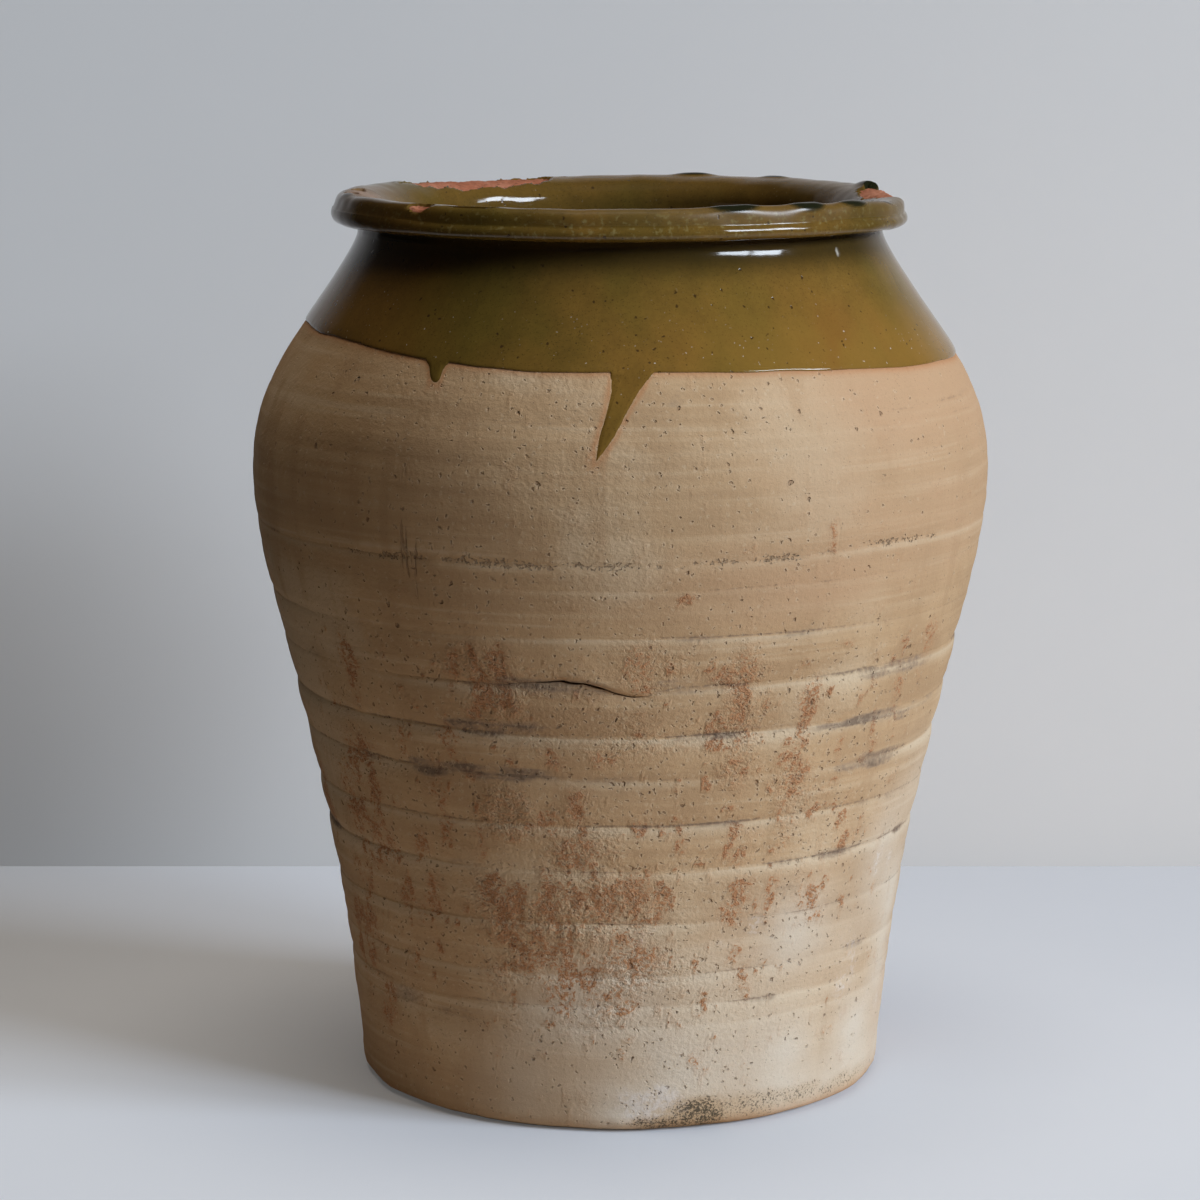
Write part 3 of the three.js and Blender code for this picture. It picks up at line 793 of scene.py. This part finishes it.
def slip_finish():
    """Buff slip over red clay: streaked round the jar, cream and painted light on the ledges, flaked, stained
    and pitted. The stains along the laps and the dark in the holes are partly painted shade.
    """
    finish, paint = new_finish("slipped_clay")
    mark = paint.mark
    streak = paint.cloud((7, 7, 300), 4)
    band = paint.cloud((3, 3, 70), 3)
    blotch = paint.cloud((26, 26, 40), 5)
    patch = paint.cloud((11, 11, 17), 4)
    drip = paint.cloud((60, 60, 5), 3)
    drag = paint.cloud((260, 260, 9), 3)
    grain = paint.cloud((480, 480, 560), 4)
    crumb = paint.cloud((950, 950, 950), 3)
    fine = paint.cloud((1900, 1900, 1900), 2)
    rough = mark("crumbled")
    pin, pin_size = paint.specks(250.0, 0.9)
    holes = (1 - (pin - 0.3 * pin_size).step(-0.16, 0.0)) * (pin_size + 0.15 * mark("holed")).step(0.86, 0.91)
    pock, pock_kind = paint.specks(400.0, 1.0)
    pocked = (pock_kind + 0.3 * mark("holed")).step(0.8, 0.88)
    pocks = (1 - pock.step(0.1, 0.3)) * pocked
    # Pale rims round the pocks: a painted highlight
    pock_rim_light = pock.step(0.2, 0.32) * (1 - pock.step(0.34, 0.5)) * pocked
    tone = 0.35 * streak + 0.5 * band + 0.6 * blotch + 0.4 * patch + 0.15 * drag - 0.5
    # Cream from the slip's tone, and painted light on the ledges under the laps
    cream_and_ledge_light = (mark("ledge_light") * (0.45 + 0.9 * band) + 0.6 * tone - 0.42).step(0.0, 0.75)
    flaked = (mark("flaked") * (0.62 + 3.8 * (grain - 0.5) + 2.6 * (crumb - 0.5))).step(0.38, 0.54)
    red = crumb.step(0.42, 0.62).blend(FLAKE_RED, FLAKE_PALE)
    red = grain.step(0.5, 0.38).blend(red, FLAKE_DARK)
    stain_and_shade = mark("stain_and_shade") * (0.45 + 0.55 * streak.step(0.38, 0.6) + 1.6 * (grain - 0.5))
    seam = (mark("seam") * (2.0 * grain - 0.2)).step(0.25, 1.1)
    bloom = (mark("bloom") * (0.1 + 1.2 * blotch + 4.0 * (grain - 0.5))).step(0.1, 1.3)
    mould = (0.25 * mark("mould") + 0.6 * crumb + 0.3 * grain + 0.25 * fine).step(0.69, 0.86)
    scratch = mark("scratched") * drag.step(0.36, 0.3)
    pits = (mark("pitted") * (0.5 + 3.0 * (crumb - 0.5) + 2.4 * (grain - 0.5))).step(0.42, 0.66)
    colour = tone.step(0.3, 0.64).blend(UMBER_BUFF, BUFF).under(
        (CREAM, 0.5 * streak.step(0.5, 0.7) * band.step(0.4, 0.6)),
        (CREAM, 0.5 * patch.step(0.5, 0.66)),
        (UMBER_BUFF, 0.6 * drip.step(0.52, 0.66)),
        (TAN, (mark("warm") * (0.5 + blotch)).step(0.1, 1.1)),
        # Cream, partly painted ledge light
        (CREAM, 0.72 * cream_and_ledge_light),
        # Pale wash: damp and painted bounce light
        (CHALK_AND_BOUNCE_LIGHT, 0.85 * mark("wash_and_bounce_light") * (0.5 + blotch)),
        (PIT_DARK, 0.2 * (fine - 0.25)),
        (FLAKE_PALE, 0.25 * mark("flaked")),
        (red, 0.9 * flaked),
        (FLAKE_PALE, 0.6 * rough * grain.step(0.45, 0.58)),
        (PIT_DARK, 0.5 * rough * crumb.step(0.48, 0.34)),
        # Grey stain along the laps, partly painted shade, darkest where it is strongest
        (STAIN_AND_SHADE_GREY, 0.7 * stain_and_shade.step(0.1, 0.9)),
        (SEAM_DARK, 0.65 * stain_and_shade.step(0.7, 1.4)),
        (SEAM_DARK, 0.62 * seam),
        (BLOOM_WHITE, 0.65 * bloom),
        (FOOT_ORANGE, mark("footed") * (0.3 + 0.7 * blotch)),
        (MOULD_TINT, 0.7 * mark("mould") * (0.3 + blotch)),
        (MOULD_BLACK, 0.85 * mould),
        (HALO_ORANGE, mark("halo") * (0.4 + 0.4 * grain)),
        (CREAM, 0.5 * mark("pitted") * crumb.step(0.5, 0.62)),
        (PIT_DARK, 0.42 * pits + 0.45 * scratch),
        # Dark in the holes and pocks, partly painted shade inside them
        (FLAKE_DARK, 0.4 * holes + 0.25 * pocks),
        # Painted highlight on the pock rims
        (CREAM, 0.3 * pock_rim_light),
    )
    relief = 0.12 * streak + 0.08 * drag + 0.24 * grain + 0.12 * fine - 0.4 * scratch
    relief = relief + rough * (1.5 * grain + 0.9 * crumb) - 0.6 * flaked - 1.2 * pits
    relief = relief + 0.35 * mark("holed") * patch.step(0.42, 0.62) * grain
    relief = relief + 0.9 * flaked * crumb - holes - 0.6 * pocks
    finish_with(
        paint,
        Base_Color=colour,
        Roughness=0.72 + 0.2 * grain,
        Specular_IOR_Level=0.3,
        Normal=paint.bump(relief),
    )
    return finish


def lap_rows(low, high, rows, lines):
    """Heights of a course's rows of points. They follow its joints and the lines given."""
    lines = [low] + [line for line in lines if low.mean() + 3 < line.mean() < high.mean() - 3] + [high]
    lines = np.array(lines)
    levels = lines.mean(1)
    plain = spaced(levels[0], levels[-1], rows, levels[1:-1], 1.5, 2.5)
    for level in levels:
        plain[np.argmin(np.abs(plain - level))] = level
    upper = np.clip(np.searchsorted(levels, plain, side="right"), 1, len(levels) - 1)
    share = ((plain - levels[upper - 1]) / (levels[upper] - levels[upper - 1]))[:, None]
    return lines[upper - 1] * (1 - share) + lines[upper] * share


def course(name, low, high, rows, foot=False):
    """One course of the wall between two joint lines: worn outside, plain inside, closed at both joints."""
    lines = [lap_line(number, turn) for number, (_, depth) in enumerate(LAPS) if depth > DEEP_LAP]
    height = lap_rows(low, high, rows, lines + [dip_line(turn)])
    stand, marks = weathered(turn, height)
    bare = -depth_in_glaze(turn, height)
    stand = stand * (1 - GLAZE_EVENS * ease(-bare, -1, 4))
    marks["halo"] = ease(bare, -0.6, 0) * hump(np.maximum(bare, 0), 1.7)
    outside = round_axis(turn, plain_radius(height) + stand, height)
    inner_height = np.linspace(1, 0, INNER_ROWS)[:, None] * (high - low) + low
    if foot:
        inner_height = np.maximum(inner_height, slab_thick + SLAB_CLEARANCE)
    inner_radius = plain_radius(np.maximum(inner_height, FOOT_ROUND)) - WALL_THICK
    inside = round_axis(turn, inner_radius, inner_height)
    rings = [outside, inside]
    if foot:
        seat = slab_radius + SLAB_CLEARANCE
        rings += [round_axis(turn, seat, np.array([[slab_thick + SLAB_CLEARANCE], [0.0]]))]
    return turned_body(name, np.concatenate(rings), marks)


slipped_clay = slip_finish()
joint = open_joint_line(turn)
ground = np.zeros(COLUMNS)
gape = along_turn(turn, OPEN_JOINT, 2) * (0.75 + 0.4 * mottle(turn, 0, 5, 50, 36))
lower_course = course("lower_course", ground, joint - gape, LOWER_ROWS, foot=True)
set_in_place(lower_course, slipped_clay, "lower_wall")
middle_course = course("middle_course", joint, pitted_joint_line(turn), MIDDLE_ROWS)
set_in_place(middle_course, slipped_clay, "middle_wall")
shoulder_top = np.full(COLUMNS, neck_height)
shoulder_course = course("shoulder_course", pitted_joint_line(turn), shoulder_top, SHOULDER_ROWS)
set_in_place(shoulder_course, slipped_clay, "shoulder_wall")


# Rim: a coil of red clay rolled over on the neck into two beads, bare where the lip has been knocked.
# Chips along the lip: turn, length, place across the lip from its crest, width, depth.
NECK_LAND = 5.0
LOWER_BEAD = 2.6
UPPER_BEAD = 4.2
RIM_OVERHANG = 12.4
UPPER_SETBACK = 1.7
LIP_DROP = 11.0
LOWER_BEAD_END = 55.0
UPPER_BEAD_START = -35.0
UPPER_SQUARE = 0.55
CHIPS = (
    (98, 50, -1.0, 23, 1.2), (-43.5, 13, 1.8, 7.5, 1.3), (-31, 30, 0.6, 2.6, 0.8),
    (-144, 94, -4.0, 19, 1.1), (-80, 15, -2.0, 5.5, 0.9), (-95, 18, -3.5, 6, 0.8),
)
LIP_LOW = 2.6
LIP_LOW_AT = 78.0
LIP_LOW_REACH = 15.0
RIM_STEP = 0.8
RIM_SOFTNESS = 2
RIM_SINK = 0.25
CHIP_TEAR = 0.35

crest_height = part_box("rim")[1][2] / MM
mouth_radius = NECK_RADIUS - WALL_THICK
lower_bead = (NECK_RADIUS + RIM_OVERHANG - LOWER_BEAD, neck_height + NECK_LAND + LOWER_BEAD)
upper_bead = (NECK_RADIUS + RIM_OVERHANG - UPPER_SETBACK - UPPER_BEAD, crest_height - UPPER_BEAD)


def arc(middle, across, up, start, end, round_off=1.0):
    """Points on an arc, by angles in degrees from the level outward direction. With round_off below 1 it
    is squarer."""
    angle = np.radians(np.linspace(start, end, 24))
    aside, rise = [np.sign(part) * np.abs(part) ** round_off for part in (np.cos(angle), np.sin(angle))]
    return np.stack([middle[0] + across * aside, middle[1] + up * rise], -1)


def evenly(path, step):
    """The same path with points a step apart."""
    length = np.concatenate([[0], np.cumsum(np.linalg.norm(np.diff(path, axis=0), axis=1))])
    places = np.linspace(0, length[-1], round(length[-1] / step) + 1)
    return np.stack([np.interp(places, length, path[:, n]) for n in (0, 1)], -1)


def softened(path, times):
    """The same path with its corners rounded; its ends stay."""
    for _ in range(times):
        path = np.concatenate([path[:1], (path[:-2] + 2 * path[1:-1] + path[2:]) / 4, path[-1:]])
    return path


def outward(path):
    """Unit directions square to a path that runs with the clay on its left."""
    along = np.gradient(path, axis=0)
    along = along / np.linalg.norm(along, axis=1, keepdims=True)
    return np.stack([along[:, 1], -along[:, 0]], -1)


lip_foot = (upper_bead[0], crest_height - LIP_DROP)
rim_path = np.vstack(
    [
        [(NECK_RADIUS, neck_height), (NECK_RADIUS, neck_height + NECK_LAND)],
        arc(lower_bead, LOWER_BEAD, LOWER_BEAD, -90, LOWER_BEAD_END),
        arc(upper_bead, UPPER_BEAD, UPPER_BEAD, UPPER_BEAD_START, 90, UPPER_SQUARE),
        arc(lip_foot, upper_bead[0] - mouth_radius, LIP_DROP, 90, 180),
        [(mouth_radius, neck_height)],
    ]
)
rim_path = softened(evenly(rim_path, RIM_STEP), RIM_SOFTNESS)
rim_out = outward(rim_path)
crest_at = np.argmax(rim_path[:, 1])
from_crest = -(np.arange(len(rim_path)) - crest_at)[:, None] * RIM_STEP


def chip_share(turn, across):
    """How far a point on the lip lies inside a chip, and how deep the chip is there."""
    share = np.zeros(np.broadcast(turn, across).shape)
    depth = np.zeros_like(share)
    fray = 0.3 * ragged(turn, across + 60, 7, 5, 120)
    for at, length, place, width, deep in CHIPS:
        along = wrapped(turn - math.radians(at)) * upper_bead[0] / (length / 2)
        inside = 1 - along**2 - ((across - place) / (width / 2)) ** 2 + fray
        share = np.maximum(share, ease(inside, 0.0, 0.12))
        depth = np.maximum(depth, deep * np.clip(inside, 0, 1) ** 0.6)
    return share, depth


def lip_wave(turn):
    """The lip isn't quite level, and is low at the right: how far it rises and falls."""
    dip = LIP_LOW * hump(np.degrees(wrapped(turn)) - LIP_LOW_AT, LIP_LOW_REACH)
    wave = 0.5 * mottle(turn, 0, 70, 50, 130) + 0.25 * mottle(turn, 0, 22, 50, 131)
    return wave + 0.3 * np.sin(turn + 2.0) - dip


def rim_climb(path):
    """How far up the rim the points of a path are, from 0 at the neck to 1 at the crest."""
    return np.clip((path[:, 1:] - neck_height) / (crest_height - neck_height), 0, 1)


rim_share = rim_climb(rim_path)
chipped, chip_depth = chip_share(turn, from_crest)
torn = CHIP_TEAR * chipped * ragged(turn, from_crest + 60, 4, 4, 125)
rim_stand = torn - chip_depth - RIM_SINK
rim_radius = rim_path[:, :1] + rim_out[:, :1] * rim_stand
rim_height = rim_path[:, 1:] + rim_out[:, 1:] * rim_stand + rim_share * lip_wave(turn)
rim_rings = round_axis(turn, rim_radius, np.maximum(rim_height, neck_height))
rim = turned_body("rolled_rim", rim_rings)
set_in_place(rim, red_clay, "rim")


# Lining: an olive-brown lead glaze poured into the jar and swilled round, up to the foot of the rim.
# It is smooth, fills the corner round the floor, and shows the throwing rings faintly beneath it.
GLAZE_BOND = 0.3
GLAZE_THICK = 0.9
FLOOR_CORNER = 9.0
FLOOR_ROWS = 16
LINING_ROWS = 89
LINING_BACK_STEP = 4
CORNER_ROWS = 12
LINING_RELIEF = 0.3
OLIVE = (0.178, 0.108, 0.021, 1)
AMBER = (0.262, 0.142, 0.029, 1)
DARK_OLIVE = (0.03, 0.02, 0.006, 1)
GREEN_OLIVE = (0.150, 0.112, 0.02, 1)
BOTTLE_GREEN = (0.012, 0.013, 0.005, 1)
PALE_OLIVE = (0.34, 0.28, 0.11, 1)
RUSSET = (0.20, 0.075, 0.018, 1)
SPECK_BROWN = (0.035, 0.018, 0.008, 1)
SPECK_WHITE = (0.62, 0.58, 0.5, 1)
BITTEN_PINK = (0.36, 0.25, 0.19, 1)


def glaze_finish(name, collar):
    """Glossy olive lead glaze: amber where it is thin, greener where it is thick, peppered low down. On the
    collar it darkens where thick, with painted shade under the rim, on the shoulder's left and the rim's
    right.
    """
    finish, paint = new_finish(name)
    mark = paint.mark
    flow = paint.cloud((55, 55, 7), 4)
    pool = paint.cloud((13, 13, 10), 4)
    ripple = paint.cloud((90, 90, 60), 2)
    grain = paint.cloud((500, 500, 500), 3)
    colour = (0.6 * flow + 0.9 * pool - 0.25).step(0.2, 0.75).blend(OLIVE, AMBER).under(
        (GREEN_OLIVE, 0.6 * pool.step(0.5, 0.3)),
        (DARK_OLIVE, 0.4 * grain + 0.5 * (ripple - 0.5) + 0.4 * (flow - 0.5) - 0.05),
        (DARK_OLIVE, 0.4 * paint.cloud((1300, 1300, 1300), 2).step(0.58, 0.7)),
    )
    relief = 0.05 * ripple + 0.03 * pool
    rough = 0.07 + 0.06 * grain
    if collar:
        spot, chosen = paint.specks(230.0, 0.7)
        pepper = mark("peppered") * (0.3 + 1.2 * pool)
        peppered = (1 - (spot - 0.2 * chosen).step(-0.06, 0.04)) * (chosen + 0.28 * pepper).step(0.66, 0.72)
        white = (1 - spot.step(0.05, 0.12)) * (1 - (chosen - 0.1 * pepper).step(0.23, 0.27)) * pepper
        pale = paint.cloud((420, 420, 420), 3).step(0.54, 0.72)
        dust, kind = paint.specks(480.0, 0.6)
        dusted = (1 - dust.step(0.1, 0.2)) * mark("peppered") * flow.step(0.35, 0.6)
        colour = colour.under(
            (AMBER, mark("thin") * (0.4 + 0.9 * flow)),
            (RUSSET, 0.8 * mark("thin") * pool.step(0.47, 0.62)),
            (PALE_OLIVE, 0.6 * mark("speckled") * pale),
            # Dark of thick glaze, with painted shade under the rim, on the shoulder's left and on the rim's
            # right
            (DARK_OLIVE, mark("thick_and_shaded")),
            (BOTTLE_GREEN, mark("drop")),
            (BITTEN_PINK, mark("worn") * (0.3 + grain)),
            (SPECK_BROWN, 0.75 * peppered),
            (SPECK_BROWN, 0.7 * dusted * kind.step(0.48, 0.4)),
            (SPECK_WHITE, 0.4 * dusted * kind.step(0.64, 0.72)),
            (SPECK_WHITE, 0.8 * white + mark("nicked")),
        )
        relief = relief - 0.05 * peppered + 0.3 * mark("worn") * grain
        rough = rough + 0.5 * mark("worn") + 0.26 * mark("dull")
    finish_with(
        paint,
        Base_Color=colour,
        Roughness=rough,
        IOR=1.45,
        Normal=paint.bump(relief),
    )
    return finish


floor_level = slab_thick + GLAZE_BOND
wall_height = np.linspace(floor_level, neck_height, LINING_ROWS)
wall_radius = plain_radius(np.maximum(wall_height, FOOT_ROUND)) - WALL_THICK - GLAZE_BOND
lining_back = np.vstack(
    [
        [(wall_radius[0] * part, floor_level) for part in (0.1, 0.4, 0.7)],
        np.stack([wall_radius, wall_height], -1)[::LINING_BACK_STEP],
    ]
)
across_corner = np.linspace(0, 1, CORNER_ROWS)
corner_rise = FLOOR_CORNER * (1 - np.sqrt(1 - across_corner**2))
face_floor = np.linspace(HUB_RADIUS, wall_radius[0] - GLAZE_THICK - FLOOR_CORNER, FLOOR_ROWS)
corner_run = wall_radius[0] - GLAZE_THICK - FLOOR_CORNER + FLOOR_CORNER * across_corner
face_height = wall_height[wall_height > floor_level + GLAZE_THICK + FLOOR_CORNER]
face_radius = np.interp(face_height, wall_height, wall_radius) - GLAZE_THICK
lining_face = np.vstack(
    [
        np.stack([face_floor, np.full(FLOOR_ROWS, floor_level + GLAZE_THICK)], -1),
        np.stack([corner_run[1:-1], floor_level + GLAZE_THICK + corner_rise[1:-1]], -1),
        np.stack([face_radius, face_height], -1),
    ]
)
ring_relief = LINING_RELIEF * mottle(turn, lining_face[:, 1:], 200, 9, 140) * ease(lining_face[:, 1:], 30, 60)
ring_relief = ring_relief * ease(neck_height - lining_face[:, 1:], 0, 6)
face_rings = round_axis(turn, lining_face[:, :1] - LINING_RELIEF + ring_relief, lining_face[:, 1:])
back_rings = round_axis(turn, lining_back[::-1, :1], lining_back[::-1, 1:])
lining = turned_body("poured_lining", np.concatenate([face_rings, back_rings])[::-1], poles=True)
set_in_place(lining, glaze_finish("olive_lining", False), "glaze_lining")


# Collar: the same glaze, put on by dipping the jar mouth down, over rim and shoulder, and run in two places.
# It stands proud in a rounded edge, fills the corner under the rim and is broken away at the chips.
# Dark green drops gathered on the lip: turn, half length, place across the lip, half width, rise.
DROPS = (
    (22.5, 12, 1.7, 3.2, 0.9), (39.5, 10, 1.7, 3.6, 1.1), (53.5, 10, 1.7, 3.0, 1.0),
    (163, 9.5, -0.5, 3.2, 1.4), (143, 7.5, -0.5, 2.8, 0.8), (111, 9, 0.0, 4.5, 2.0),
    (70, 5, 1.5, 2, 0.3), (-76, 6, 1, 2.4, 0.6),
)
# Parts of the rim on the left: turn, half width. Glaze fills the groove in one and is worn in the other.
FILLED_ROLL = (-71.0, 27.0)
WORN_ROLL = (-82.0, 17.0)
# A white nick in the glaze under the rim: turn, height, half width
NICK = (51.5, 378.3, 1.0)
GLAZE_EDGE = 1.3
RUN_EDGE = 2.6
RUN_THICK = 0.55
EDGE_SINK = 0.12
CORNER_FILL = 1.4
CORNER_REACH = 4.0
GLAZE_SOFTNESS = 3
GROOVE_FROM_BEAD = (2.2, 3.0)
GROOVE_FILL = 1.9
GROOVE_WIDTH = 3.4
BROKEN_SINK = 1.6
# How deep the hidden back lies in the clay: at the neck, how much more at the crest, and on the shoulder
BACK_SINK = 0.6
CREST_SINK = 6.0
UNDER_SINK = 0.4
COLLAR_ROWS = 40
COLLAR_BACK_STEP = 6
# The first rows, close together over the rounded edge: share of the way up to the neck
EDGE_ROWS = (0, 0.003, 0.008, 0.016, 0.026, 0.04)
# Columns crowd round the two runs: turns, reach and weight
RUN_FOCUS = [math.radians(1.5), math.radians(-3.6), math.radians(-32.1)]
RUN_REACH = math.radians(3.2)
RUN_WEIGHT = 5.0

collar_turn = spaced(-math.pi, math.pi, COLUMNS + 1, RUN_FOCUS, RUN_REACH, RUN_WEIGHT)[:-1]
edge = dip_line(collar_turn) - run_reach(collar_turn, neck_height)
climb = np.concatenate([EDGE_ROWS, np.linspace(0.06, 1, COLLAR_ROWS - len(EDGE_ROWS))])[:, None]
shoulder_height = edge + climb * (neck_height - edge)
fallen = np.clip(dip_line(collar_turn) - shoulder_height, 0, None)
shoulder_turn = leaned(collar_turn, shoulder_height)
stand, _ = weathered(shoulder_turn, shoulder_height)
depth_in = np.maximum(depth_in_glaze(shoulder_turn, shoulder_height), 0)
stand = stand * (1 - GLAZE_EVENS * ease(depth_in, -1, 4))
rounding = np.sqrt(1 - (1 - np.clip(depth_in / GLAZE_EDGE, 0, 1)) ** 2)
running = ease(fallen, 0, 3)
rounding = rounding * (1 - running) + RUN_THICK * ease(depth_in, -0.4, RUN_EDGE) * running
corner = CORNER_FILL * np.exp((shoulder_height - neck_height) / CORNER_REACH)
coat = GLAZE_THICK * rounding - EDGE_SINK + corner
shoulder_rings = round_axis(shoulder_turn, plain_radius(shoulder_height) + stand + coat, shoulder_height)


def part_of_rim(at, half_width):
    """How near the collar's columns are to a turn in degrees: 1 there, and soon 0 beyond the half width."""
    return hump(np.degrees(wrapped(collar_turn - math.radians(at))), half_width, 4)


glaze_path = softened(rim_path, GLAZE_SOFTNESS)
glaze_out = outward(glaze_path)
chipped, chip_depth = chip_share(collar_turn, from_crest)
drop_share = np.zeros((len(glaze_path), COLUMNS))
drop_rise = np.zeros_like(drop_share)
for at, length, place, width, rise in DROPS:
    along = wrapped(collar_turn - math.radians(at)) * upper_bead[0] / length
    gathered = np.exp(-((along**2 + ((from_crest - place) / width) ** 2) ** 1.5))
    drop_share = np.maximum(drop_share, gathered)
    drop_rise = np.maximum(drop_rise, rise * gathered)
from_groove = glaze_path - np.array(lower_bead) - GROOVE_FROM_BEAD
groove_at = from_crest[np.argmin(np.hypot(*from_groove.T))]
rolled = part_of_rim(*FILLED_ROLL)
filled = GROOVE_FILL * rolled * hump(from_crest - groove_at, GROOVE_WIDTH)
lumpy = 0.16 * mottle(collar_turn, from_crest + 60, 16, 9, 150)
lumpy = lumpy + 0.1 * mottle(collar_turn, from_crest + 60, 7, 5, 151)
corner = CORNER_FILL * np.exp((from_crest - from_crest[0]) / CORNER_REACH * 1.6)
whole = GLAZE_THICK + drop_rise + filled + lumpy + corner
broken = -chip_depth - BROKEN_SINK
rim_stand = whole * (1 - chipped) + broken * chipped
rim_height = glaze_path[:, 1:] + glaze_out[:, 1:] * rim_stand + rim_share * lip_wave(collar_turn)
rim_rings = round_axis(collar_turn, glaze_path[:, :1] + glaze_out[:, :1] * rim_stand, rim_height)

back_path = np.vstack([rim_path[::-COLLAR_BACK_STEP], rim_path[:1]])
back_out = np.vstack([rim_out[::-COLLAR_BACK_STEP], rim_out[:1]])
buried = -CREST_SINK * rim_climb(back_path) - BACK_SINK
back_rings = round_axis(
    collar_turn,
    back_path[:, :1] + back_out[:, :1] * buried,
    back_path[:, 1:] + back_out[:, 1:] * buried,
)
under_rings = round_axis(shoulder_turn, plain_radius(shoulder_height) + stand - UNDER_SINK, shoulder_height)
under_rings = under_rings[::-COLLAR_BACK_STEP]
collar_rings = np.concatenate([shoulder_rings, rim_rings[1:], back_rings, under_rings])


def collar_mark(on_shoulder, on_rim):
    """One mark over the collar's face, from its amounts on the shoulder and on the rim."""
    below = np.broadcast_to(on_shoulder, shoulder_rings.shape[:2])
    above = np.broadcast_to(on_rim, rim_rings.shape[:2])
    return np.concatenate([below, above[1:]])


# Painted shade on the shoulder's left, laid on as darker glaze
shaded = 0.22 * ease(np.cos(collar_turn + 0.9), 0.4, 0.95) * ease(380 - shoulder_height, 0, 12)
low_down = hump(shoulder_height - dip_line(collar_turn) - 6, 19)
worn_left = part_of_rim(*WORN_ROLL) * ease(-from_crest, -3, 4)
nick_across = wrapped(collar_turn - math.radians(NICK[0])) * NECK_RADIUS / NICK[2]
nick_up = (shoulder_height - NICK[1]) / NICK[2]
# Darker glaze over the rim and more just inside the mouth; the darkening under the beads and on the right is
# painted shade
on_lip = 0.22 + 0.55 * ease(from_crest, 16, 24) + 0.2 * ease(-from_crest, 3, 12)
on_lip = on_lip + 0.14 * ease(np.sin(collar_turn), 0.2, 0.8)
upper_face = ease(from_crest, 10.5, 8) * ease(from_crest, -2, 0.5) * ease(np.cos(collar_turn - 0.5), 0.4, 0.9)
upper_face = upper_face * (1 - drop_share)
collar_marks = {
    "thin": collar_mark(0.9 * low_down * ease(np.sin(collar_turn), -0.2, 0.7), 0),
    # Darker glaze near the rim: thicker glaze and painted shade under the rim
    "thick_and_shaded": collar_mark(0.85 * ease(shoulder_height, 368, 380) + shaded, on_lip + 0.5 * rolled),
    "peppered": collar_mark(low_down, 0.2),
    "speckled": collar_mark(0, ease(from_crest, 3, 6) * ease(18 - from_crest, 0, 3)),
    "drop": collar_mark(0, ease(drop_share, 0.25, 0.7)),
    "worn": collar_mark(0, worn_left),
    "nicked": collar_mark(np.exp(-((nick_across**2 + nick_up**2) ** 2)), 0),
    "dull": collar_mark(0, upper_face),
}
collar = turned_body("dipped_collar", collar_rings, collar_marks)
set_in_place(collar, glaze_finish("olive_collar", True), "glaze_collar")
